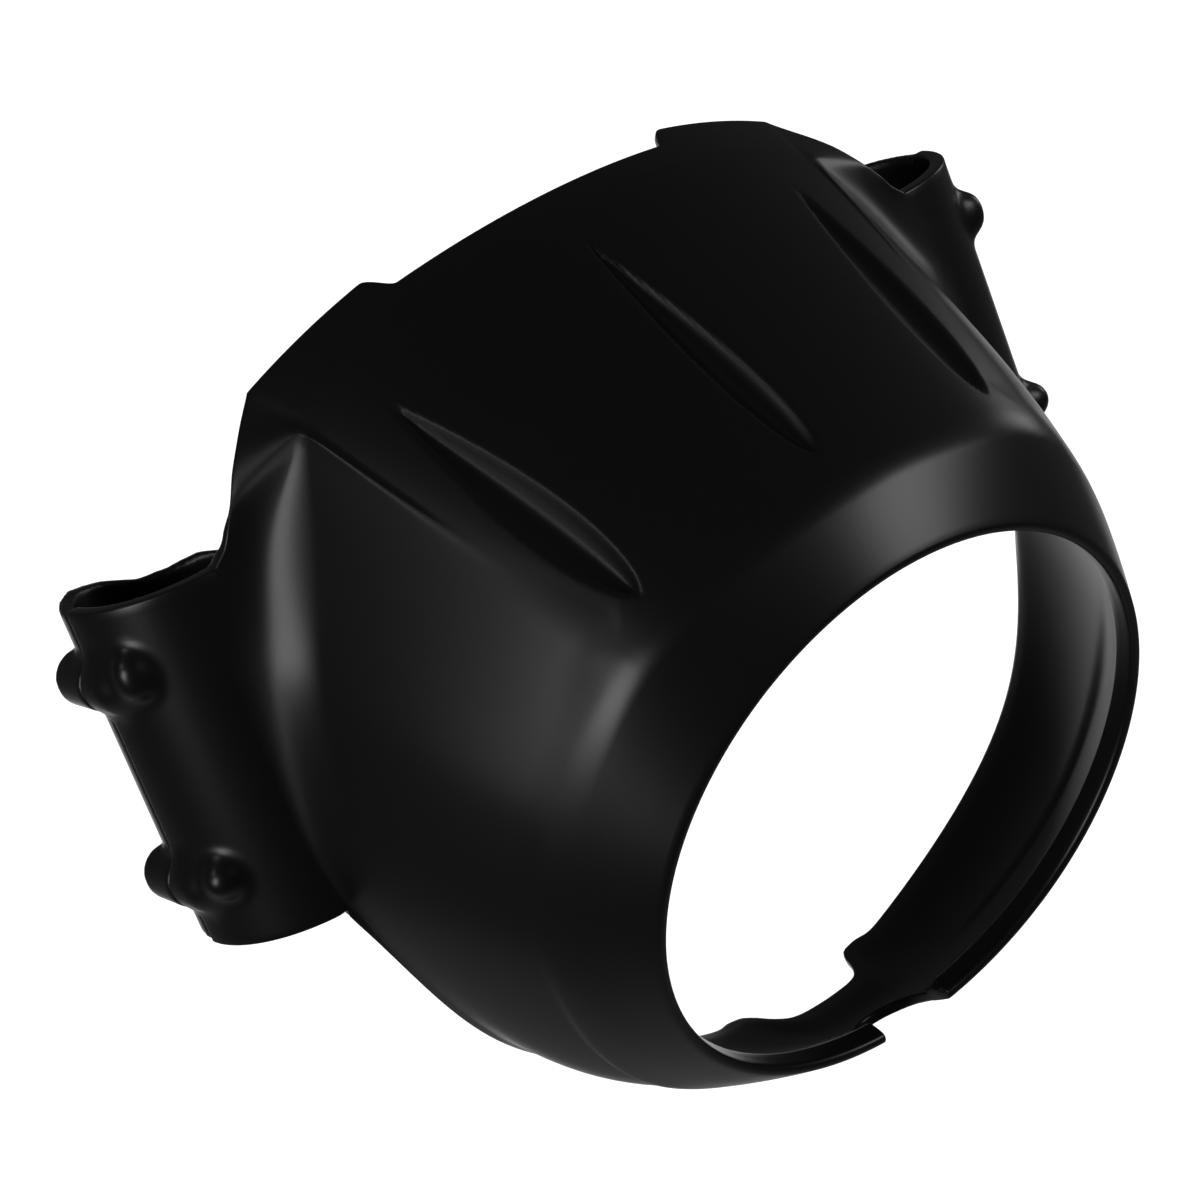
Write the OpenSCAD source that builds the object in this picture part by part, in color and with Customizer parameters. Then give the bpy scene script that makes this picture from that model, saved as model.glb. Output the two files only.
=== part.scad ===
// Motorbike headlight cowl with two fork clamps, millimetres.
// Frame: X to the viewer's right when facing the lamp, -Y forward along the
// lamp axis, +Z up.  The origin lies on the lamp axis inside the opening land.

/* [Opening] */
// radius of the crest of the opening's front edge
crest_r = 79.2; // [74:0.2:84]
// radius of the cylindrical land inside the opening
land_r = 77.5; // [72:0.5:80]
// length of the land along the lamp axis
land_len = 6; // [4:0.5:10]
// distance of the shoulder line behind the crest
shoulder_y = 16; // [10:0.5:22]

/* [Shell] */
// wall thickness of the moulding
wall = 3; // [2:0.25:4]
// half width of the cut through the bottom of the opening ring
gap_half = 11.8; // [8:0.2:16]
// depth of the front notch behind the crest
notch_depth = 19.8; // [14:0.2:24]
// depth of the three flutes in the top panel
flute_depth = 1.7; // [1:0.1:2.2]

/* [Fork clamps] */
// distance between the two fork tube axes
fork_pitch = 230; // [200:1:260]
// radius of the clamp bore, for a 49 mm fork tube
bore_r = 24.6; // [20:0.1:28]
// outside radius of the clamp shells
clamp_r = 28.5; // [26:0.1:34]
// length of the clamps along the fork tube
leg_len = 95; // [80:0.2:110]
// rake of the fork tubes from the vertical
rake = 26.3; // [22:0.1:32]
// outside radius of the front clamp shell, set inboard so that the seams meet
front_r = 30; // [28:0.1:34]
// half of the gap between front shell and rear clamp half at the seam
seam_gap = 0.1; // [0.05:0.05:0.5]

/* [Clamp bosses] */
// distance of the boss barrels' axis from the fork tube axis
boss_off = 26; // [20:0.1:32]
// distance of the screw axis from the fork tube axis, clear of the tube
screw_off = 28.4; // [27:0.1:32]
// distance of the front domes' axis from the fork tube axis
dome_off = 24.6; // [20:0.1:30]
// distance of the front domes above their barrels' axis
dome_up = 2.5; // [0:0.1:4]
// radius of the boss barrel
boss_r = 7.6; // [6:0.1:9]
// position of the upper screw along the fork tube
boss_a1 = 20.5; // [12:0.5:30]
// position of the lower screw along the fork tube
boss_a2 = 78; // [60:0.5:86]

/* [Hidden] */
$fn = 64;
front_y = -3;                  // crest of the opening in the frame
leg_x = fork_pitch / 2;
leg_y = 152;                   // fork axis at the mouth plane, from the crest
leg_z = 54.8;
cr = cos(rake);
sr = sin(rake);

function mix(a, b, t) = a + (b - a) * t;
function ease(t) = t <= 0 ? 0 : t >= 1 ? 1 : t * t * (3 - 2 * t);
function bez(a, b, c, t) = (1 - t) * (1 - t) * a + 2 * t * (1 - t) * b + t * t * c;
crease_th = 40;                // angle at which the crease of the top panel meets the shoulder
function unit(v) = v / max(norm(v), 1e-9);
// point given as x, distance forward of the seam plane, distance down the fork
function leg(x, f, a) = [x, leg_y - f * cr - a * sr, leg_z + f * sr - a * cr];
// shoulder radius round the lamp axis, angle from the top
function rs(th) = 94.3 + 4 * exp(-pow((th - 38) / 16, 2)) - 0.6 * exp(-pow((th - 80) / 25, 2));
function sy(th) = shoulder_y + 6.5 * exp(-pow((th - 70) / 35, 2));
// flare of the skin behind the shoulder
function flare(th) = lookup(th, [[0, 0.21], [46, 0.25], [97, 0.33], [108, 0.36], [118, 0.42], [130, 0.49], [180, 0.486]]);
function polar(r, y, th) = [r * sin(th), y, r * cos(th)];
function cone(th, y) = polar(94.3 + 2 * exp(-pow((th - 85) / 35, 2)) + flare(th) * (y - 16), y, th);
// top panel: rising centre line and flat arcs across it
function top_z(x, y) = 94.6 + 0.2124 * (y - 16) - 0.0022 * pow(max(0, y - 100), 2)
    - (118 + 0.4 * (y - 16)) + sqrt(pow(118 + 0.4 * (y - 16), 2) - x * x);
// top rear edge: shallow recess, rounded step, raised outer part
function top_y(x) = x < 42 ? 136.3 + 2.2 * pow(x / 42, 2) : x < 48.5 ? 138.5 + 7.9 * ease((x - 42) / 6.5)
    : 146.4 + (x - 48.5) / 35.7;
// fold between side panel and clamp, q runs from the peak down to the clamp's lower end
peak = [83, 126, 94.2];
function fold_x(q) = lookup(q, [[0, 83], [0.1, 88.5], [0.2, 93.5], [0.35, 101], [0.5, 107.5], [0.65, 112], [0.8, 114.5], [1, 115.5]]);
function fold_f(q) = lookup(q, [[0, 40.7], [0.1, 41.5], [0.3, 42], [0.6, 41], [0.8, 39.5], [1, 36.5]]);
function fold(q) = q == 0 ? peak : leg(fold_x(q), fold_f(q), mix(-23.4, leg_len, q));
// free rear edge from the outer corner to the clamp's mouth, then a line inside the clamp wall
function ear(q) = q <= 0.33
    ? leg(lookup(q, [[0, 84.2], [0.05, 89.5], [0.1, 94.8], [0.15, 99.8], [0.2, 103.6], [0.25, 106.6], [0.29, 109.5], [0.33, 113.5]]),
          lookup(q, [[0, 22.4], [0.05, 24.5], [0.1, 27.2], [0.15, 29.4], [0.2, 31.2], [0.25, 31.6], [0.29, 30.5], [0.33, 28.5]]),
          lookup(q, [[0, -36], [0.05, -30.5], [0.1, -24.6], [0.15, -18.6], [0.2, -13], [0.25, -8], [0.29, -3], [0.33, 1.5]]))
    : leg(mix(116, 118, (q - 0.33) / 0.67), mix(27.4, 27, (q - 0.33) / 0.67), mix(3, leg_len - 2, (q - 0.33) / 0.67));
function low_y(th) = lookup(th, [[97, 84.3], [103, 79.8], [108, 72.7], [113, 67.6], [120, 64], [126, 61.4], [136, 59.4],
    [145, 56.8], [154, 54.1], [161, 52.1], [165.5, 51], [168, 52.4], [169.8, 52], [171, 48.5], [171.8, 43.5], [173.7, 38.6], [176, 37.5], [180, 37.2]]);

topx = [0, 7, 14, 21, 28, 35, 39, 42, 44, 45.5, 47, 48.5, 54, 62, 70, 78, 84.2];
wingu = [0.3, 0.6, 1];
sideq = [0.05, 0.1, 0.15, 0.2, 0.25, 0.29, 0.33, 0.38, 0.46, 0.55, 0.64, 0.73, 0.82, 0.91, 1];
lowth = [100, 103, 108, 113, 120, 128, 136, 145, 154, 161, 165, 167, 168.5, 170, 171, 171.9, 173.7, 176.5, 180];

// a column of the skin: [angle, fold point, control point, rear point, bulge]
function top_col(x) = let(th = crease_th * x / 84.2, y = top_y(x), d = [x, y, top_z(x, y)], s = polar(rs(th), sy(th), th),
    b = mix(s, d, (126 - s[1]) / (d[1] - s[1])) + [0, 0, 1]) [th, b, (b + d) / 2, d, 1.6];
wing_b = top_col(84.2)[1];
function wing_col(u) = let(b = bez(wing_b, peak + [0, 0, 0.7], peak, u), d = ear(0.175 * u))
    [crease_th + 2 * u, b, (b + d) / 2, d, 1.6];
function side_col(q) = let(th = crease_th + 2 + (95 - crease_th) * q, b = fold(q), d = ear(q < 0.33 ? 0.175 + 0.47 * q : q),
    a = mix(-23.4, leg_len, q), c = leg(mix(b[0], d[0], 0.4), 30.5, mix(a, (leg_y - d[1]) * sr + (leg_z - d[2]) * cr, 0.4)))
    [th, b, mix((b + d) / 2, c, ease(q / 0.12)), d, 1.6 + 1.8 * sin(180 * q)];
function low_col(th) = let(y = low_y(th), d = cone(th, y), b = cone(th, y - 6)) [th, b, (b + d) / 2, d, 1.6 + 2.6 * exp(-pow((th - 134) / 18, 2))];
half_cols = concat([for (x = topx) top_col(x)], [for (u = wingu) wing_col(u)], [for (q = sideq) side_col(q)], [for (t = lowth) low_col(t)]);

// points of a column from the opening crest to the rear edge
function col_pts(c) = let(th = c[0], p0 = polar(crest_r + 0.5, 0.9, th), s = polar(rs(th), sy(th), th), b = c[1], d = c[3],
    out = [sin(th), 0, cos(th)], L = norm(b - s), k = min(9, L * 0.3),
    a1 = s + 6 * unit(p0 - s), a2 = s + 8 * unit(b - s), b1 = b + k * unit(s - b), w = bez(b, c[2], d, 0.3))
    concat([p0, mix(p0, s, 0.3) + 0.25 * out],
        [for (i = [0:3]) bez(a1, s, a2, i / 3) + (i == 0 ? 0.3 : 0.15) * out],
        [for (i = [1:5]) let(t = i / 5) mix(a2, b1, t) + c[4] * sin(150 * t) * out],
        [for (i = [1:3]) bez(b1 + c[4] * 0.5 * out, b, w, i / 3)],
        [bez(b, c[2], d, 0.55), bez(b, c[2], d, 0.78), d]);
function flip(v) = [-v[0], v[1], v[2]];
half_pts = [for (c = half_cols) col_pts(c)];
NH = len(half_pts);
// full set of columns, from the bottom centre over the left side and back
grid = concat([for (i = [0:NH - 1]) half_pts[i]], [for (i = [NH - 2:-1:1]) [for (p = half_pts[i]) flip(p)]]);
NC = len(grid);
NR = len(grid[0]);
function wrap(i) = (i + NC) % NC;
function nrm(i, j) = unit(cross(grid[wrap(i + 1)][j] - grid[wrap(i - 1)][j],
    grid[i][min(j + 1, NR - 1)] - grid[i][max(j - 1, 0)]));
sgn = nrm(0, 9)[2] > 0 ? 1 : -1;
function inner_pt(i, j) = grid[i][j] - sgn * wall * unit(nrm(wrap(i - 1), j) + nrm(i, j) + nrm(wrap(i + 1), j));

module quad_skin() {
    outer = [for (i = [0:NC - 1]) for (j = [0:NR - 1]) grid[i][j]];
    inner = [for (i = [0:NC - 1]) for (j = [0:NR - 1]) inner_pt(i, j)];
    M = NC * NR;
    function o(i, j) = wrap(i) * NR + j;
    function n(i, j) = M + wrap(i) * NR + j;
    polyhedron(concat(outer, inner), concat(
        [for (i = [0:NC - 1]) for (j = [0:NR - 2]) each [[o(i, j), o(i + 1, j + 1), o(i + 1, j)], [o(i, j), o(i, j + 1), o(i + 1, j + 1)]]],
        [for (i = [0:NC - 1]) for (j = [0:NR - 2]) each [[n(i, j), n(i + 1, j), n(i + 1, j + 1)], [n(i, j), n(i + 1, j + 1), n(i, j + 1)]]],
        [for (i = [0:NC - 1]) each [[o(i, 0), n(i + 1, 0), n(i, 0)], [o(i, 0), o(i + 1, 0), n(i + 1, 0)]]],
        [for (i = [0:NC - 1]) each [[o(i, NR - 1), n(i, NR - 1), n(i + 1, NR - 1)], [o(i, NR - 1), n(i + 1, NR - 1), o(i + 1, NR - 1)]]]));
}

// children drawn in the clamp's own frame: Z down the fork, Y forward, X outward
module at_leg(side) {
    multmatrix([[side, 0, 0, side * leg_x], [0, -cr, -sr, leg_y], [0, sr, -cr, leg_z], [0, 0, 0, 1]]) children();
}
module half_tube(front) {
    intersection() {
        difference() {
            if (front) translate([clamp_r - front_r, 0, 0]) cylinder(r = front_r, h = leg_len);
            else cylinder(r = clamp_r, h = leg_len);
            translate([0, 0, -1]) cylinder(r = bore_r, h = leg_len + 2);
        }
        if (front) translate([-40, seam_gap, -1]) cube([80, 40, leg_len + 2]);
        else translate([-40, -40 - seam_gap, -1]) cube([80, 40, leg_len + 2]);
    }
}
// closed front boss: a round barrel at the seam with a smaller dome before it
module barrel(a, y0, y1, r, y2, dome_r) {
    translate([boss_off, 0, a]) rotate([-90, 0, 0]) rotate_extrude()
        polygon([[0, y0], [r, y0], [r, y1 - 1.5], [r - 1.8, y1 + 0.6], [0, y1 + 0.6]]);
    translate([dome_off, 0, a - dome_up]) rotate([-90, 0, 0]) rotate_extrude()
        polygon([[0, y0 + 1], [r - 1.4, y0 + 1], [r - 1.4, y1], [dome_r, y2 - 1], for (w = [0:15:90]) [dome_r * cos(w), y2 + dome_r * sin(w)]]);
}
// hooked rib on the inboard side, where the rear half locks into the shell
module rib(y0, y1) {
    translate([-bore_r - 6.4, y0, 6]) cube([5.6, y1 - y0, leg_len - 12]);
}
module leg_front() {
    half_tube(true);
    for (a = [boss_a1, boss_a2]) barrel(a, seam_gap, 13.5, boss_r, 18.4, 5.6);
    rib(seam_gap, 7);
}
module leg_front_cuts() {
    translate([0, 0, -60]) cylinder(r = bore_r, h = leg_len + 90);
    for (a = [boss_a1, boss_a2]) translate([screw_off, -1, a]) rotate([-90, 0, 0]) cylinder(r = 2.8, h = 14);
    translate([-bore_r - 4.5, -1, 8]) cube([2.4, 5.2, leg_len - 16]);
}
// a flute: a slim cone and a ball sunk into the top panel
module flute(p, q) {
    d = q - p;
    translate(p) rotate([0, acos(d[2] / norm(d)), atan2(d[1], d[0])]) {
        cylinder(r1 = 8, r2 = 0.6, h = norm(d));
        sphere(r = 8);
    }
}
// point of the top panel on the column that ends at x, at depth y behind the crest
function panel_pt(x, y) = let(c = top_col(abs(x)), s = polar(rs(c[0]), sy(c[0]), c[0]), t = (y - s[1]) / (c[1][1] - s[1]),
    p = mix(s, c[1], t) + c[4] * sin(150 * min(t, 1)) * [sin(c[0]), 0, cos(c[0])]) x < 0 ? flip(p) : p;
function flute_pt(x, y, r, dep) = panel_pt(x, y) + (r - dep) * unit([x, -24, 120]);

module cowl_shell() {
    color([0.05, 0.05, 0.055]) translate([0, front_y, 0]) difference() {
        union() {
            quad_skin();
            rotate([90, 0, 0]) mirror([0, 0, 1]) rotate_extrude($fn = 128)
                polygon([[land_r, 1.2], [land_r + 0.5, 0.35], [crest_r, 0], [crest_r + 0.9, 0.35], [crest_r + 2.4, 3.4], [crest_r + 2.2, land_len], [land_r, land_len]]);
            for (s = [-1, 1]) at_leg(s) leg_front();
        }
        for (s = [-1, 1]) at_leg(s) leg_front_cuts();
        // cut through the ring and round-ended notch behind it
        translate([-gap_half, -5, -130]) cube([gap_half * 2, 5 + notch_depth - gap_half, 70]);
        translate([0, notch_depth - gap_half, -130]) cylinder(r = gap_half, h = 70);
        flute(flute_pt(0, 38, 8, flute_depth), flute_pt(0, 112, 0.6, 0.3));
        for (s = [-1, 1]) flute(flute_pt(s * 68.5, 38, 8, flute_depth), flute_pt(s * 60.5, 116, 0.6, 0.3));
    }
}
module rear_clamp(side) {
    color([0.05, 0.05, 0.055]) translate([0, front_y, 0]) at_leg(side) difference() {
        union() {
            half_tube(false);
            for (a = [boss_a1, boss_a2]) translate([boss_off, 0, a]) rotate([-90, 0, 0]) rotate_extrude()
                polygon([[0, -17.5], [boss_r - 1.5, -17.5], [boss_r, -16], [boss_r, -seam_gap], [0, -seam_gap]]);
            rib(-7, -seam_gap);
            translate([-bore_r - 4.3, -1, 8.2]) cube([2, 4.8, leg_len - 16.4]);
        }
        translate([0, 0, -1]) cylinder(r = bore_r, h = leg_len + 2);
        // upper rim stands lower round the back
        translate([0, -2, 0]) rotate([90, 0, 0]) linear_extrude(height = 40)
            polygon([[-40, -1], [-40, 10], [-26, 9.6], [-18, 7.4], [-10, 8.6], [-2, 8], [8, 3.4], [18, 0.3], [20, -1]]);
        for (a = [boss_a1, boss_a2]) translate([screw_off, -23, a]) rotate([-90, 0, 0]) {
            cylinder(r = 2.2, h = 24);
            cylinder(r = 3.8, h = 11);
        }
    }
}
module rear_clamp_left() { rear_clamp(-1); }
module rear_clamp_right() { rear_clamp(1); }
// socket head screws M4 x 20, entered from behind
module clamp_screws() {
    color([0.12, 0.12, 0.13]) translate([0, front_y, 0]) for (s = [-1, 1]) at_leg(s)
        for (a = [boss_a1, boss_a2]) translate([screw_off, -12, a]) rotate([-90, 0, 0]) difference() {
            union() {
                translate([0, 0, -4]) cylinder(r = 3.5, h = 4);
                cylinder(r = 2, h = 20);
            }
            translate([0, 0, -4.1]) cylinder(r = 1.73, h = 2.1, $fn = 6);
        }
}
// brass inserts moulded into the front bosses
module clamp_inserts() {
    color([0.7, 0.55, 0.25]) translate([0, front_y, 0]) for (s = [-1, 1]) at_leg(s)
        for (a = [boss_a1, boss_a2]) translate([screw_off, 1.2, a]) rotate([-90, 0, 0]) difference() {
            cylinder(r = 2.8, h = 9.6);
            translate([0, 0, -1]) cylinder(r = 2, h = 12);
        }
}

cowl_shell();
rear_clamp_left();
rear_clamp_right();
clamp_screws();
clamp_inserts();
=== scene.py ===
import math
from math import sin, cos, radians, pi
import bpy
import numpy as np
from mathutils import Matrix, Vector


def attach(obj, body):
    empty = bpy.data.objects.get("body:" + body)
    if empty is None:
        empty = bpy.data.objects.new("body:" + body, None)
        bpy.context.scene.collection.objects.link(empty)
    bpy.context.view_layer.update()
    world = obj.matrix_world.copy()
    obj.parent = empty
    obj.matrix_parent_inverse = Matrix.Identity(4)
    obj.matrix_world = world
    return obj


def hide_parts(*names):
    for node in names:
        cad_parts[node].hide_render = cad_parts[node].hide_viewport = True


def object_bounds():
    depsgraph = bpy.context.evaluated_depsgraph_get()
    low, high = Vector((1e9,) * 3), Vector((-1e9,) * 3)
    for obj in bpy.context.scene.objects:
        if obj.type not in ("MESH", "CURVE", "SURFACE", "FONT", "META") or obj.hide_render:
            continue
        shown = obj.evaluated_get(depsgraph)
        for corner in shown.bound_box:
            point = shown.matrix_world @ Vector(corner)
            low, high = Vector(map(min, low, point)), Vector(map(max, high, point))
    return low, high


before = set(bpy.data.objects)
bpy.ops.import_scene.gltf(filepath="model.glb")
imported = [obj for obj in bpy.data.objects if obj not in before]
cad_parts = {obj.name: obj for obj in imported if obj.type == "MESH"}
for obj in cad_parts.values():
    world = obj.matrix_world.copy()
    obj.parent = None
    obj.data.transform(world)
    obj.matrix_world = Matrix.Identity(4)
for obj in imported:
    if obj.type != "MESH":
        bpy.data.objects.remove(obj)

CAD_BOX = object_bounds()

# ---------------------------------------------------------------------------
# Skin of the cowl, the same rules as the CAD source, in millimetres measured
# from the crest of the lamp opening.  The row frame is 3 mm further back.
# ---------------------------------------------------------------------------
FRONT_Y = -3.0
RK = radians(26.3)
CR, SR = cos(RK), sin(RK)
LEG_X, LEG_Y, LEG_Z, LEG_L = 115.0, 152.0, 54.8, 95.0
CREST_R, LAND_R, LAND_LEN = 79.2, 77.5, 6.0
BORE_R = 24.6
FRONT_R, FRONT_X = 30.0, 113.5       # front clamp shell, set inboard
WALL = 3.0
GAP = 11.8                            # half width of the cut in the ring
NOTCH_Y = 8.0                         # the notch's round end starts here
CREASE_TH = 40.0


def pchip(tab):
    t = np.array(tab, float)
    x, y = t[:, 0], t[:, 1]
    h = np.diff(x)
    d = np.diff(y) / h
    m = np.zeros(len(x))
    for i in range(1, len(x) - 1):
        if d[i - 1] * d[i] > 0:
            w1, w2 = 2 * h[i] + h[i - 1], h[i] + 2 * h[i - 1]
            m[i] = (w1 + w2) / (w1 / d[i - 1] + w2 / d[i])
    m[0], m[-1] = d[0], d[-1]

    def f(q):
        q = min(max(float(q), x[0]), x[-1])
        i = int(min(max(np.searchsorted(x, q, side="right") - 1, 0), len(h) - 1))
        s = (q - x[i]) / h[i]
        return float((2 * s**3 - 3 * s**2 + 1) * y[i] + (s**3 - 2 * s**2 + s) * h[i] * m[i]
                     + (3 * s**2 - 2 * s**3) * y[i + 1] + (s**3 - s**2) * h[i] * m[i + 1])
    return f


def ease(t):
    t = min(max(t, 0.0), 1.0)
    return t * t * (3 - 2 * t)


def bump(x, c, w):
    return math.exp(-((x - c) / w) ** 2)


def unit(v):
    return v / max(float(np.linalg.norm(v)), 1e-9)


def mix(a, b, t):
    return a + (b - a) * t


def leg(x, f, a):
    return np.array([x, LEG_Y - f * CR - a * SR, LEG_Z + f * SR - a * CR])


def unleg(p):
    y, z = p[1] - LEG_Y, p[2] - LEG_Z
    return -y * CR + z * SR, -y * SR - z * CR


def polar(r, y, th):
    return np.array([r * sin(radians(th)), y, r * cos(radians(th))])


def rs(th):
    return 94.3 + 4 * bump(th, 38, 16) - 0.6 * bump(th, 80, 25)


def sy(th):
    return 16 + 6.5 * bump(th, 70, 35)


flare = pchip([[0, .21], [46, .25], [97, .33], [108, .36], [118, .42], [130, .49], [180, .486]])
fold_x = pchip([[0, 83], [.1, 88.5], [.2, 93.5], [.35, 101], [.5, 107.5], [.65, 112], [.8, 114.5], [1, 115.5]])
fold_f = pchip([[0, 40.7], [.1, 41.5], [.3, 42], [.6, 41], [.8, 39.5], [1, 36.5]])
ear_x = pchip([[0, 84.2], [.05, 89.5], [.1, 94.8], [.15, 99.8], [.2, 103.6], [.25, 106.6], [.29, 109.5], [.33, 113.5]])
ear_f = pchip([[0, 22.4], [.05, 24.5], [.1, 27.2], [.15, 29.4], [.2, 31.2], [.25, 31.6], [.29, 31.0], [.33, 30]])
ear_a = pchip([[0, -36], [.05, -30.5], [.1, -24.6], [.15, -18.6], [.2, -13], [.25, -8], [.29, -3.6], [.33, 0]])
low_y = pchip([[97, 84.3], [103, 79.8], [108, 72.7], [113, 67.6], [120, 64], [126, 61.4], [136, 59.4], [145, 56.8],
               [154, 54.1], [161, 52.1], [165.5, 51], [168, 52.4], [169.8, 52], [171, 48.5], [171.8, 43.5],
               [173.7, 38.6], [176, 37.5], [180, 37.2]])


def top_z(x, y):
    r = 118 + .4 * (y - 16)
    return 94.6 + .2124 * (y - 16) - .0022 * max(0, y - 100) ** 2 - r + math.sqrt(r * r - x * x)


def top_y(x):
    if x < 42:
        return 136.3 + 2.2 * (x / 42) ** 2
    if x < 48.5:
        return 138.5 + 7.9 * ease((x - 42) / 6.5)
    return 146.4 + (x - 48.5) / 35.7


def cone_r(th, y):
    return 94.3 + 2 * bump(th, 85, 35) + flare(th) * (y - 16)


def ear(q):
    if q <= .33:
        return leg(ear_x(q), ear_f(q), ear_a(q))
    k = (q - .33) / .67
    x = mix(FRONT_X, 121, ease(k / .15)) - 3.5 * ease((k - .75) / .25)
    return leg(x, math.sqrt(FRONT_R**2 - (x - FRONT_X) ** 2), LEG_L * k)


PEAK = np.array([83.0, 126.0, 94.2])


def fold(q):
    return leg(fold_x(q), fold_f(q), mix(-23.4, LEG_L, q)) if q > 0 else PEAK.copy()


def col_top(x):
    th, y = CREASE_TH * x / 84.2, top_y(x)
    d = np.array([x, y, top_z(x, y)])
    s = polar(rs(th), sy(th), th)
    xb = s[0] + (x - s[0]) * (126 - s[1]) / (142 - s[1])
    b = np.array([xb, 126, top_z(xb, 126) + .3])
    m = (b + d) / 2
    return dict(th=th, b=b, c=np.array([m[0], m[1], top_z(m[0], m[1]) + .3]), d=d, bu=1.6, k=9.0, u=.3)


WING_B = col_top(84.2)["b"]
WING_D = col_top(84.2)["d"] - ear(0)


def col_wing(u):
    d = ear(.175 * u) + WING_D * (1 - ease(u / .8))
    b = (1 - u) ** 2 * WING_B + 2 * u * (1 - u) * (PEAK + np.array([0, 0, .7])) + u * u * PEAK
    return dict(th=CREASE_TH + 2 * u, b=b, c=(b + d) / 2, d=d, bu=1.6, k=mix(9, 2.5, u), u=mix(.3, .12, u))


def col_side(q):
    b, d = fold(q), ear(.175 + .47 * q if q < .33 else q)
    f, a = unleg(b)
    ad = unleg(d)[1]
    cx, df = mix(b[0], d[0], .42), unleg(d)[0]
    slope = max(0.0, (d[0] - FRONT_X) / FRONT_R)
    c = leg(cx, df + (d[0] - cx) * slope + .4, mix(a, ad, .4))
    c = mix((b + d) / 2, c, ease(q / .16))
    w = ease(q / .2)
    return dict(th=CREASE_TH + 2 + (95 - CREASE_TH) * q, b=b, c=c, d=d, bu=1.6 + 1.8 * sin(pi * q),
                k=mix(2.5, 5.0, w), u=mix(.12, .5, w), leg=q >= .33, a=LEG_L * (q - .33) / .67)


def col_low(th):
    # near the bottom the columns run at constant x, so that the notch is straight
    tb = radians(180 - th)
    xc = 94.3 * sin(tb)
    w = ease((th - 150) / 14)

    def warp(r):
        return 180 - math.degrees(mix(tb, math.asin(min(1, xc / r)), w))
    y = low_y(th)
    for _ in range(6):
        r = cone_r(th, y)
        y = mix(y, low_y(warp(r)), .7)
    r = cone_r(th, y)
    d = polar(r, y, warp(r))
    rb = cone_r(th, y - 6)
    b = polar(rb, y - 6, warp(rb))
    if th < 116 and LOW_JOIN:
        wj = 1 - ease((th - 97) / 7)
        tuck = polar(1, 0, th) * bump(th, 102, 4) * ease((th - 97) / 4)
        b, d = b + LOW_JOIN[0] * wj - .8 * tuck, d + LOW_JOIN[1] * wj - 2 * tuck
    return dict(th=th, b=b, c=(b + d) / 2, d=d, bu=1.6 + 2.6 * bump(th, 134, 18),
                k=6 - (1 - ease((th - 97) / 18)), u=.3 + .2 * (1 - ease((th - 97) / 18)), warp=warp)


LOW_JOIN = []
_side, _low = col_side(1.0), col_low(97.001)
LOW_JOIN = [_side["b"] - _low["b"], _side["d"] - _low["d"]]


def bez2(a, b, c, t):
    return (1 - t) ** 2 * a + 2 * t * (1 - t) * b + t * t * c


def bez3(a, b, c, d, t):
    return (1 - t) ** 3 * a + 3 * t * (1 - t) ** 2 * b + 3 * t * t * (1 - t) * c + t**3 * d


def dbez3(a, b, c, d, t):
    return 3 * ((1 - t) ** 2 * (b - a) + 2 * t * (1 - t) * (c - b) + t * t * (d - c))


# rows of a column: front part (land, lip, bezel up to the notch line) and rear part
LIP = [(77.5, 6.0), (77.5, 4.2), (77.5, 2.4), (77.5, 1.3), (77.62, .75), (77.95, .32), (78.5, .07), (79.2, 0.0), (79.8, .12), (80.3, .45)]
PANEL_T = None


def column(c):
    th = c["th"]
    warp = c.get("warp", lambda r: th)
    rsh, ysh = rs(th), sy(th)
    s = polar(rsh, ysh, warp(rsh))
    out = np.array([sin(radians(th)), 0, cos(radians(th))])

    def bez_pt(y):            # bezel, slightly crowned
        t = (y - .45) / (ysh - .45)
        r = mix(80.3, rsh, t) + 4 * .3 * t * (1 - t)
        return polar(r, y, warp(r))
    front = [polar(r, y, warp(r)) for r, y in LIP] + [bez_pt(y) for y in (1.6, 3.0, 4.6, 6.3)]
    lb = math.hypot(rsh - 80.3, ysh - .45)
    ya = mix(ysh, .45, 3.6 / lb)
    a1 = bez_pt(ya)
    ta = unit(bez_pt(ya + .05) - bez_pt(ya - .05))
    b = c["b"]
    L = float(np.linalg.norm(b - s))
    d = (b - s) / L
    h = c["bu"] / .75
    P = (s, s + d * L / 3 + h * out, b - d * L / 3 + .8 * h * out, b)
    t0, t1 = 5.2 / L, 1 - min(c["k"], .3 * L) / L
    p0, q0 = bez3(*P, t0), unit(dbez3(*P, t0))
    p1, q1 = bez3(*P, t1), unit(dbez3(*P, t1))
    rows = [bez_pt(y) for y in np.linspace(NOTCH_Y, ya, 4)[:-1]]
    F = (a1, a1 + ta * 2.3, p0 - q0 * 3.3, p0)
    rows += [bez3(*F, t) for t in np.linspace(0, 1, 9)[:-1]]
    ts = np.concatenate([np.linspace(0, .26, 20)[:-1], np.linspace(.26, 1, 27)])
    rows += [bez3(*P, mix(t0, t1, t)) for t in ts[:-1]]
    u0 = c["u"]
    Q = (b, c["c"], c["d"])
    w = bez2(*Q, u0)
    tw = unit(mix(Q[1], Q[2], u0) - mix(Q[0], Q[1], u0))
    k1 = np.linalg.norm(b - p1)
    k2 = np.linalg.norm(w - mix(Q[0], Q[1], u0))
    G = (p1, p1 + q1 * k1 * .72, w - tw * (k2 * .6 + np.linalg.norm(mix(Q[0], Q[1], u0) - b) * .25), w)
    rows += [bez3(*G, t) for t in np.linspace(0, 1, 11)[:-1]]
    rows += [bez2(*Q, t) for t in np.linspace(u0, 1, 11)]
    return front, rows


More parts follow.
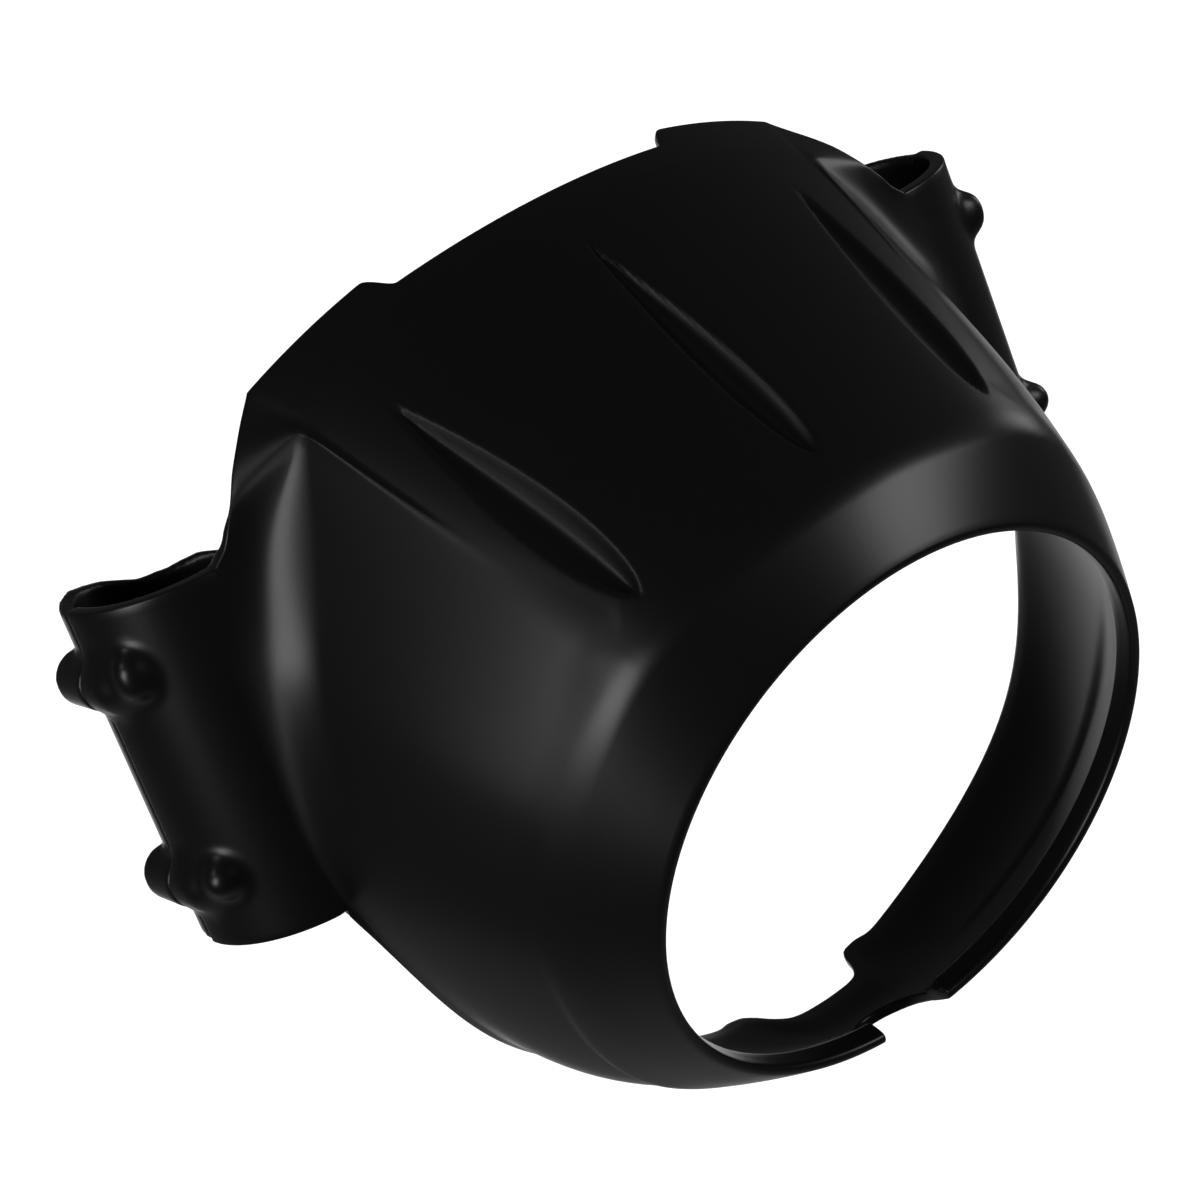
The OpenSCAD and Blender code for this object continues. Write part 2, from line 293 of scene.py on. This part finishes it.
def spans(*parts):
    """(start, end, step) stretches as one list of stations."""
    out = []
    for a, b, st in parts:
        n = max(1, int(round(abs(b - a) / st)))
        out += list(np.linspace(a, b, n + 1)[:-1])
    return out


XS = spans((0, 9, .9), (9, 41, 2.0), (41, 50, .75), (50, 74, .95), (74, 84.2, 1.3))
US = spans((0, 1, .09))
qa = lambda a: .33 + .67 * a / LEG_L
QS = spans((0, .33, .012), (.33, qa(8), qa(2) - .33), (qa(8), qa(28), qa(1) - .33), (qa(28), qa(65.5), qa(2.6) - .33),
           (qa(65.5), qa(85.5), qa(1) - .33), (qa(85.5), 1, qa(2) - .33)) + [1.0]
th_gap = 180 - math.degrees(math.asin(GAP / 94.3))
THS = spans((98.2, 160, 1.6), (160, th_gap, .65), (th_gap, 180, .6)) + [180.0]
cols = [col_top(x) for x in XS] + [col_wing(u) for u in US] + [col_side(q) for q in QS] + [col_low(t) for t in THS]
NH = len(cols)
fr, rr = zip(*[column(c) for c in cols])
half_f, half_r = np.array(fr), np.array(rr)          # (columns, rows, 3)
NF, NR = half_f.shape[1], half_r.shape[1]
i_crease = len(XS) + len(US)                          # the column that ends the wing
i_leg0 = i_crease + [i for i, q in enumerate(QS) if q >= .33 - 1e-9][0]
i_leg1 = i_crease + len(QS) - 1
i_gap = len(XS) + len(US) + len(QS) + [i for i, t in enumerate(THS) if t >= th_gap - 1e-6][0]

# the notch's round end: rear rows of the columns inside the gap start on the arc
for i in range(i_gap, NH):
    x = half_r[i, 0, 0]
    ya = NOTCH_Y + math.sqrt(max(0.0, GAP * GAP - x * x))
    pts = half_r[i]
    seg = np.concatenate([[0], np.cumsum(np.linalg.norm(np.diff(pts, axis=0), axis=1))])
    ys = pts[:, 1]
    k = int(np.searchsorted(ys, ya))
    if k > 0 and ya > ys[0]:
        s0 = mix(seg[k - 1], seg[k], (ya - ys[k - 1]) / (ys[k] - ys[k - 1]))
        nfix = 24                                     # rows squeezed behind the arc
        target = np.linspace(s0, seg[nfix], nfix + 1)
        half_r[i, : nfix + 1] = np.stack([np.interp(target, seg, pts[:, j]) for j in range(3)], 1)


def mirror(arr):
    """Half columns to the full ring: top centre, down the +X side, bottom, up the -X side."""
    m = arr[1:-1][::-1].copy()
    m[..., 0] *= -1
    return np.concatenate([arr, m])


def smooth_across(g, centre, sigma, reach):
    """Rounds a crease that runs along a column: Gaussian average across the columns, by arc length."""
    n = len(g)
    src = g.copy()
    for j in range(g.shape[1]):
        sg = sigma(j)
        if sg <= 0:
            continue
        idx = np.arange(centre - reach, centre + reach + 1)
        p = src[idx % n, j]
        arc = np.concatenate([[0], np.cumsum(np.linalg.norm(np.diff(p, axis=0), axis=1))])
        arc = arc - arc[reach]
        wid = np.gradient(arc)
        lim = min(-arc[0], arc[-1])
        for m in range(len(idx)):
            fade = 1 - ease((abs(arc[m]) - 1.6 * sg) / (1.2 * sg))
            if fade <= 0 or abs(arc[m]) > lim - 2 * sg:
                continue
            w = np.exp(-((arc - arc[m]) / sg) ** 2 / 2) * wid
            g[idx[m] % n, j] = mix(p[m], (w[:, None] * p).sum(0) / w.sum(), fade)
    return g


R = mirror(half_r)
F = mirror(half_f)
NC = len(R)
for ci in (i_crease, NC - i_crease):
    def sig(j, ci=ci):
        t = (j - 11) / 45
        return 0 if t < 0 else mix(5.5, 1.6, ease(t * 1.05)) * ease((j - 8) / 12)
    R = smooth_across(R, ci, sig, 34)


# even out the side columns across their run, keeping the crease, the shoulder and the rear edge
keep = np.zeros(R.shape[:2])
for i in range(i_crease + 2, NH - 30):
    wi = ease((i - i_crease - 2) / 7) * ease((NH - 30 - i) / 8)
    free = ease((i - i_leg1 - 1) / 4)                 # the low edge is evened out with its columns
    for j in range(10, NR):
        keep[i, j] = wi * ease((j - 9) / 8) * max(ease((NR - 1 - j) / 5), free)
for i in range(1, NH - 1):
    keep[NC - i] = keep[i]
for _ in range(60):
    R = R + (keep * .5)[..., None] * ((np.roll(R, 1, 0) + np.roll(R, -1, 0)) / 2 - R)


def grid_normals(g, wrapped=True):
    du = np.roll(g, -1, 0) - np.roll(g, 1, 0)
    if not wrapped:
        du[0], du[-1] = g[1] - g[0], g[-1] - g[-2]
    dv = np.gradient(g, axis=1)
    n = np.cross(du, dv)
    return n / np.maximum(np.linalg.norm(n, axis=2, keepdims=True), 1e-9)


NRM = grid_normals(R)
if NRM[0, NR // 2, 2] < 0:
    NRM = -NRM

# flutes: three tear drops pressed into the top panel, pointed at the rear
FLUTES = [(0.0, 29.0, 0.0, 115.0), (54.6, 30.5, 65.0, 111.0), (-54.6, 30.5, -65.0, 111.0)]
for x0, y0, x1, y1 in FLUTES:
    ax, ay = x1 - x0, y1 - y0
    ln = math.hypot(ax, ay)
    rx, ry = R[..., 0] - x0, R[..., 1] - y0
    t = (rx * ax + ry * ay) / ln
    s = np.abs(rx * ay - ry * ax) / ln
    tt = np.clip(t / ln, 0, 1)
    wid = 5.4 * np.sin(pi * tt ** .66) ** .8
    e = np.where(R[..., 2] < 40, 9, s / np.maximum(wid, .02))
    soft = np.clip((1.12 - e) / .24, 0, 1)
    depth = 3.2 * (wid / 5.4) ** .6 * np.where(e < .88, 1 - e * e, (1 - .88 * .88) * soft ** 2 * .95)
    R = R - NRM * np.maximum(depth, 0)[..., None]

NRM = grid_normals(R)
if NRM[0, NR // 2, 2] < 0:
    NRM = -NRM

# inner side of the wall
INN = R - NRM * WALL
for _ in range(12):
    lap = (np.roll(INN, 1, 0) + np.roll(INN, -1, 0)) / 2
    mid = INN.copy()
    mid[:, 1:-1] = (INN[:, :-2] + INN[:, 2:]) / 2
    new = .5 * (lap + mid)
    INN[:, 1:-1] = mix(INN[:, 1:-1], new[:, 1:-1], .5)

# ---------------------------------------------------------------------------
# clamp front: continues the rear row of the leg columns round to the seam
# ---------------------------------------------------------------------------
BOSS_X, BOSS_R, DOME_X, DOME_R, DOME_F = 141.0, 7.6, 139.6, 4.6, 16.4
BOSS_A = (20.6, 78.1)
DOME_UP, DOME_ROOT = (4.8, 3.0), (1.6, 2.1)
SEAM = .12


def smin(a, b, k):
    h = np.clip(.5 + .5 * (b - a) / k, 0, 1)
    return b + (a - b) * h - k * h * (1 - h)


def round_cone(x, f, a, p0, r0, p1, r1):
    """Distance to a rounded cone along f: centres (x, f0, a) and (x, f1, a)."""
    dx, da = x - p0[0], a - p0[2]
    rad = np.sqrt(dx * dx + da * da)
    y = f - p0[1]
    h = p1[1] - p0[1]
    bb = (r0 - r1) / h
    aa = math.sqrt(1 - bb * bb)
    k = rad * (-bb) + y * aa
    return np.where(k < 0, np.sqrt(rad**2 + y**2) - r0,
                    np.where(k > aa * h, np.sqrt(rad**2 + (y - h) ** 2) - r1, rad * aa + y * bb - r0))


def clamp_sdf(x, f, a, cx, cr, side):
    d = np.sqrt((x - cx) ** 2 + f**2) - cr
    for ba, up, root in zip(BOSS_A, DOME_UP, DOME_ROOT):
        if side > 0:
            barrel = round_cone(x, f, a, (BOSS_X, -8, ba), BOSS_R, (BOSS_X, 6.5, ba), BOSS_R - .9)
            dome = np.sqrt((x - DOME_X) ** 2 + (f - DOME_F) ** 2 + (a - ba + up) ** 2) - DOME_R
            neck = round_cone(x, f, a, (DOME_X, 4, ba - root), 6.4, (DOME_X, DOME_F, ba - up), 4.4)
            d = smin(d, smin(smin(barrel, neck, 3.5), dome, 2.2), 4.5)
    return d


def radial_surface(cx, cr, phis, avals, side):
    """Outermost surface seen along rays from the clamp axis, (a, phi) grid."""
    A, PH = np.meshgrid(avals, phis, indexing="ij")
    r = np.full(A.shape, 46.0)
    done = np.zeros(A.shape, bool)
    for _ in range(240):
        x, f = cx + r * np.sin(PH), r * np.cos(PH)
        d = clamp_sdf(x, f, A, cx, cr, side)
        step = np.where(done, 0, np.maximum(d * .8, .004))
        done |= d < .006
        r = np.where(done, r, r - step)
        if done.all():
            break
    return cx + r * np.sin(PH), r * np.cos(PH), A


legs = []
for sgn in (1, -1):
    idx = list(range(i_leg0, i_leg1 + 1))
    if sgn < 0:
        idx = [(NC - i) % NC for i in idx]
    avals = np.array([cols[i]["a"] for i in range(i_leg0, i_leg1 + 1)])
    NT = 46
    out = np.zeros((len(idx), NT, 3))
    inn = np.zeros((len(idx), NT, 3))
    for m, i in enumerate(range(i_leg0, i_leg1 + 1)):
        x0 = cols[i]["d"][0]
        ph0 = math.asin((x0 - FRONT_X) / FRONT_R)
        ph1 = math.acos(SEAM / FRONT_R)
        phs = np.concatenate([np.linspace(ph0, .55, 12)[:-1], np.linspace(.55, ph1, NT - 11)])
        if m == 0:
            grid_x, grid_f = [], []
        X, Fv, _ = radial_surface(FRONT_X, FRONT_R, phs, np.array([avals[m]]), 1)
        X, Fv = X[0], Fv[0]
        Fv[-1] = SEAM
        ps0 = math.asin((x0 - LEG_X) / BORE_R)
        ps1 = math.acos(SEAM / BORE_R)
        pss = np.concatenate([np.linspace(ps0, .55, 12)[:-1], np.linspace(.55, ps1, NT - 11)])
        for k in range(NT):
            out[m, k] = leg(X[k], Fv[k], avals[m])
            inn[m, k] = leg(LEG_X + BORE_R * sin(pss[k]), BORE_R * cos(pss[k]), avals[m])
    out[..., 0] *= sgn
    inn[..., 0] *= sgn
    legs.append((sgn, idx, out, inn))
    # the skin's inner side runs into the bore near the clamp
    for m, ci in enumerate(idx):
        for back in range(0, 9):
            w = 1 - ease(back / 9)
            j = NR - 1 - back
            INN[ci, j] = mix(INN[ci, j], inn[m, 0] + (R[ci, j] - R[ci, NR - 1]) * 1.0, w)
    # towards the mouth's corner the free edge thickens to the clamp's wall
    for back in range(1, 12):
        ci = (idx[0] - back * sgn) % NC
        w = 1 - ease(back / 12)
        thick = float(np.linalg.norm(out[0, 0] - inn[0, 0]))
        for j in range(NR - 9, NR):
            wj = 1 - ease((NR - 1 - j) / 9)
            INN[ci, j] = R[ci, j] - unit(R[ci, j] - INN[ci, j]) * mix(WALL, thick, w * wj)

# ---------------------------------------------------------------------------
# closed mesh: outer sheet, inner sheet and rounded rims between them
# ---------------------------------------------------------------------------
verts_o, verts_i, quads, inner_quads = [], [], [], []


def add(o, i):
    verts_o.append(o)
    verts_i.append(i)
    return len(verts_o) - 1


idR = -np.ones((NC, NR), int)
for i in range(NC):
    for j in range(NR):
        idR[i, j] = add(R[i, j], INN[i, j])
gap_cols = set(range(i_gap + 1, NC - i_gap))
idF = -np.ones((NC, NF), int)
for i in range(NC):
    if i in gap_cols:
        continue
    for j in range(NF):
        p = F[i, j]
        rad = math.hypot(p[0], p[2])
        nx, nz = p[0] / rad, p[2] / rad
        # back of the ring: runs from behind the land to the bezel's inner side
        t = j / (NF - 1)
        q = INN[i, 0]
        qr = math.hypot(q[0], q[2])
        r_in, y_in = mix(80.6, qr, ease(t * 1.0)), mix(6.0, q[1], t)
        if j < 3:
            r_in, y_in = 80.6, mix(6.0, 5.0, j / 3)
        idF[i, j] = add(p, np.array([q[0] / qr * r_in, y_in, q[2] / qr * r_in]))
rows_in = sorted(set(list(range(0, NR, 2)) + [NR - 1]))
for i in range(NC):
    k = (i + 1) % NC
    for j in range(NR - 1):
        quads.append((idR[i, j], idR[k, j], idR[k, j + 1], idR[i, j + 1]))
    for a, b in zip(rows_in[:-1], rows_in[1:]):
        inner_quads.append((idR[i, a], idR[k, a], idR[k, b], idR[i, b]))
    if i in gap_cols or k in gap_cols:
        continue
    for j in range(NF - 1):
        quads.append((idF[i, j], idF[k, j], idF[k, j + 1], idF[i, j + 1]))
        inner_quads.append(quads[-1])
    quads.append((idF[i, NF - 1], idF[k, NF - 1], idR[k, 0], idR[i, 0]))
    inner_quads.append(quads[-1])
for sgn, idx, out, inn in legs:
    ids = np.zeros((len(idx), out.shape[1]), int)
    for m, ci in enumerate(idx):
        ids[m, 0] = idR[ci, NR - 1]
        verts_o[ids[m, 0]] = out[m, 0]
        verts_i[ids[m, 0]] = inn[m, 0]
        for k in range(1, out.shape[1]):
            ids[m, k] = add(out[m, k], inn[m, k])
    for m in range(len(idx) - 1):
        for k in range(out.shape[1] - 1):
            q = (ids[m, k], ids[m + 1, k], ids[m + 1, k + 1], ids[m, k + 1])
            if sgn < 0:
                q = q[::-1]
            quads.append(q)
            inner_quads.append(q)


def closed_shell(vo, vi, qo, qi, rim):
    """Outer and inner sheet with the same border, joined by a rim with rounded edges."""
    vo, vi = np.array(vo), np.array(vi)
    n = len(vo)
    used = np.zeros(n, bool)
    edges = {}
    for q in qo:
        for a, b in zip(q, q[1:] + q[:1]):
            edges[(a, b)] = q
    border = {a: b for (a, b) in edges if (b, a) not in edges}
    verts = list(vo) + list(vi)
    faces = [tuple(q) for q in qo] + [tuple(v + n for v in reversed(q)) for q in qi]
    back = {b: a for a, b in border.items()}
    ring, edge_dir = {}, {}
    steps = [radians(v) for v in (30, 60, 90)]
    for a in border:
        o, i = vo[a], vi[a]
        tan = unit(vo[border[a]] - vo[back[a]])
        th = i - o
        w = float(np.linalg.norm(th))
        th = th / max(w, 1e-9)
        e = unit(np.cross(tan, th))
        cen = np.mean([vo[v] for v in edges[(a, border[a])]] + [vo[v] for v in edges[(back[a], a)]], axis=0)
        edge_dir[a] = -e if np.dot(e, cen - o) > 0 else e
    for _ in range(2):
        edge_dir = {a: unit(edge_dir[a] * 2 + edge_dir[border[a]] + edge_dir[back[a]]) for a in border}
    for a in border:
        o, i = vo[a], vi[a]
        th = i - o
        w = float(np.linalg.norm(th))
        th = th / max(w, 1e-9)
        e = edge_dir[a]
        r = min(rim, w * .45)
        ids = [a]
        for s in steps:
            verts.append(o + e * r * sin(s) + th * r * (1 - cos(s)))
            ids.append(len(verts) - 1)
        for s in reversed(steps):
            verts.append(i + e * r * sin(s) - th * r * (1 - cos(s)))
            ids.append(len(verts) - 1)
        ids.append(a + n)
        ring[a] = ids
    for a, b in border.items():
        for p, q in zip(range(7), range(1, 8)):
            faces.append((ring[b][p], ring[a][p], ring[a][q], ring[b][q]))
    return verts, faces


def to_mesh(name, verts, faces, angle=42):
    v = np.array(verts, float)
    v[:, 1] += FRONT_Y
    v *= .001
    used = sorted({i for f in faces for i in f})
    remap = {o: k for k, o in enumerate(used)}
    me = bpy.data.meshes.new(name)
    me.from_pydata([tuple(v[i]) for i in used], [], [tuple(remap[i] for i in f) for f in faces])
    me.validate()
    me.polygons.foreach_set("use_smooth", [True] * len(me.polygons))
    me.update()
    ob = bpy.data.objects.new(name, me)
    bpy.context.collection.objects.link(ob)
    me.set_sharp_from_angle(angle=radians(angle))
    return ob


def outward(ob):
    import bmesh
    bm = bmesh.new()
    bm.from_mesh(ob.data)
    bmesh.ops.recalc_face_normals(bm, faces=bm.faces)
    vol = bm.calc_volume(signed=True)
    if vol < 0:
        bmesh.ops.reverse_faces(bm, faces=bm.faces)
    open_edges = sum(1 for e in bm.edges if not e.is_manifold)
    bm.to_mesh(ob.data)
    bm.free()
    print(ob.name, "volume cm3", round(abs(vol) * 1e6, 1), "open edges", open_edges, "faces", len(ob.data.polygons))


V, Q = closed_shell(verts_o, verts_i, quads, inner_quads, .7)

# inboard half of each front clamp shell, inside the cowl
for sgn in (1, -1):
    nph, aa = 30, np.linspace(.4, LEG_L - .4, 12)
    base = len(V)
    for a in aa:
        for k in range(nph):
            ph = mix(-math.acos(SEAM / 28.4), .12, k / (nph - 1))
            p = leg(LEG_X + 28.4 * sin(ph), 28.4 * cos(ph), a)
            V.append(np.array([p[0] * sgn, p[1], p[2]]))
        for k in range(nph):
            ph = mix(-math.acos(SEAM / (BORE_R + .04)), .12, k / (nph - 1))
            p = leg(LEG_X + (BORE_R + .04) * sin(ph), (BORE_R + .04) * cos(ph), a)
            V.append(np.array([p[0] * sgn, p[1], p[2]]))
    st = 2 * nph
    for m in range(len(aa) - 1):
        for k in range(nph - 1):
            o = base + m * st + k
            Q.append((o, o + 1, o + st + 1, o + st))
            Q.append((o + nph, o + st + nph, o + st + nph + 1, o + nph + 1))
        o = base + m * st
        Q.append((o, o + st, o + st + nph, o + nph))
        o += nph - 1
        Q.append((o, o + nph, o + st + nph, o + st))
    for m in (0, len(aa) - 1):
        for k in range(nph - 1):
            o = base + m * st + k
            Q.append((o, o + nph, o + nph + 1, o + 1) if m == 0 else (o, o + 1, o + nph + 1, o + nph))

shell = to_mesh("cowl_shell_skin", V, Q)
outward(shell)
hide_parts("cowl_shell")
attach(shell, "root")


# ---------------------------------------------------------------------------
# materials
# ---------------------------------------------------------------------------
def material(name, base, rough, rough_var, grain, metal=0.0, spec=.5, scale=1.0):
    m = bpy.data.materials.get(name) or bpy.data.materials.new(name)
    m.use_nodes = True
    nt = m.node_tree
    nt.nodes.clear()
    out = nt.nodes.new("ShaderNodeOutputMaterial")
    p = nt.nodes.new("ShaderNodeBsdfPrincipled")
    nt.links.new(p.outputs[0], out.inputs[0])
    tc = nt.nodes.new("ShaderNodeTexCoord")

    def noise(sc, detail, rough_n=.5):
        n = nt.nodes.new("ShaderNodeTexNoise")
        n.inputs["Scale"].default_value = sc * scale
        n.inputs["Detail"].default_value = detail
        n.inputs["Roughness"].default_value = rough_n
        nt.links.new(tc.outputs["Object"], n.inputs["Vector"])
        return n

    def ramp(src, lo, hi, a, b):
        r = nt.nodes.new("ShaderNodeMapRange")
        r.inputs["From Min"].default_value = lo
        r.inputs["From Max"].default_value = hi
        r.inputs["To Min"].default_value = a
        r.inputs["To Max"].default_value = b
        nt.links.new(src, r.inputs["Value"])
        return r
    broad = noise(9, 3)
    fine = noise(900, 2)
    rr_ = ramp(broad.outputs[0], .3, .7, rough - rough_var, rough + rough_var)
    nt.links.new(rr_.outputs[0], p.inputs["Roughness"])
    mixc = nt.nodes.new("ShaderNodeMix")
    mixc.data_type = "RGBA"
    mixc.inputs[6].default_value = (*[v * .85 for v in base], 1)
    mixc.inputs[7].default_value = (*[v * 1.15 for v in base], 1)
    nt.links.new(fine.outputs[0], mixc.inputs[0])
    nt.links.new(mixc.outputs[2], p.inputs["Base Color"])
    bmp = nt.nodes.new("ShaderNodeBump")
    bmp.inputs["Strength"].default_value = grain
    bmp.inputs["Distance"].default_value = .0001
    nt.links.new(fine.outputs[0], bmp.inputs["Height"])
    nt.links.new(bmp.outputs[0], p.inputs["Normal"])
    p.inputs["Metallic"].default_value = metal
    p.inputs["Specular IOR Level"].default_value = spec
    return m


plastic = material("satin_black_plastic", (.0034, .0034, .0035), .33, .012, .06, spec=.36)
clamp_plastic = material("satin_black_plastic_clamp", (.0036, .0036, .0037), .34, .012, .06, spec=.36)
screw_steel = material("blackened_steel", (.05, .05, .054), .34, .04, .15, metal=.9)
brass = material("insert_brass", (.6, .43, .18), .32, .05, .15, metal=1.0)
shell.data.materials.append(plastic)

for node in ("rear_clamp_left", "rear_clamp_right"):
    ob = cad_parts[node]
    rm = ob.modifiers.new("soften", "REMESH")
    rm.mode = "VOXEL"
    rm.voxel_size = .0008
    rm.use_smooth_shade = True
    sm = ob.modifiers.new("smooth", "SMOOTH")
    sm.factor, sm.iterations = .6, 8

SLOTS = {"rear_clamp_left": clamp_plastic, "rear_clamp_right": clamp_plastic, "clamp_screws": screw_steel, "clamp_inserts": brass}
for node, mat in SLOTS.items():
    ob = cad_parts[node]
    for s in ob.material_slots:
        s.material = mat
    if not ob.material_slots:
        ob.data.materials.append(mat)

# ---------------------------------------------------------------------------
# stage: floor, lights, camera
# ---------------------------------------------------------------------------
lo, hi = CAD_BOX
fz = lo[2] - 1.6
bpy.ops.mesh.primitive_plane_add(size=14, location=(0, 0, fz))
floor = bpy.context.object
floor.name = "floor"
fm = bpy.data.materials.new("floor_pale")
fm.use_nodes = True
fb = fm.node_tree.nodes["Principled BSDF"]
ft = fm.node_tree.nodes.new("ShaderNodeTexNoise")
ft.inputs["Scale"].default_value = 3
fr_ = fm.node_tree.nodes.new("ShaderNodeMapRange")
fr_.inputs["To Min"].default_value = .86
fr_.inputs["To Max"].default_value = .9
fm.node_tree.links.new(ft.outputs[0], fr_.inputs["Value"])
fm.node_tree.links.new(fr_.outputs[0], fb.inputs["Base Color"])
fb.inputs["Roughness"].default_value = .9
fb.inputs["Specular IOR Level"].default_value = .1
floor.data.materials.append(fm)

centre = Vector((0, .065, .0))


def softbox(name, direction, dist, w, h, power):
    d = Vector(direction).normalized()
    li = bpy.data.lights.new(name, "AREA")
    li.shape = "RECTANGLE"
    li.size, li.size_y = w, h
    li.energy = power
    ob = bpy.data.objects.new(name, li)
    bpy.context.collection.objects.link(ob)
    ob.location = centre + d * dist
    ob.rotation_euler = (-d).to_track_quat("-Z", "Y").to_euler()
    return ob


softbox("key_front_right", (.62, -.49, .61), 1.7, .9, .5, 8.5)
softbox("left", (-.93, -.17, .33), 1.5, .55, .8, 9)
softbox("right", (.95, .2, .05), 1.6, .4, .5, 1.4)
softbox("back_left", (-.68, .33, .65), 1.6, .3, .3, 1.1)

# a soft spot that lights the floor behind the part and misses the part itself
sp = bpy.data.lights.new("floor_spot", "SPOT")
sp.energy = 1750
sp.spot_size, sp.spot_blend = radians(28.6), .08
sp.shadow_soft_size = .15
so = bpy.data.objects.new("floor_spot", sp)
bpy.context.collection.objects.link(so)
so.location = (1.2, 1.9, 4.2)
aim = Vector((1.145, 2.127, fz)) - Vector(so.location)
so.rotation_euler = aim.to_track_quat("-Z", "Y").to_euler()

world = bpy.data.worlds.new("studio")
bpy.context.scene.world = world
world.use_nodes = True
bg = world.node_tree.nodes["Background"]
bg.inputs[0].default_value = (1, 1, 1, 1)
bg.inputs[1].default_value = .055

cam = bpy.data.cameras.new("camera")
cam.sensor_width = 36
cam.sensor_fit = "HORIZONTAL"
cam.lens = 105.57
cam.clip_start, cam.clip_end = .05, 50
co = bpy.data.objects.new("camera", cam)
bpy.context.collection.objects.link(co)
rx = Vector((.78328893, -.61563125, -.08635167))
dn = Vector((-.45692845, -.47596376, -.75144853))
fw = Vector((.42151493, .62805785, -.65411658))
mw = Matrix((rx, -dn, -fw)).transposed().to_4x4()
mw.translation = Vector((-.40777, -.48309, .62101))
co.matrix_world = mw
bpy.context.scene.camera = co
bpy.context.scene.view_settings.view_transform = "Standard"
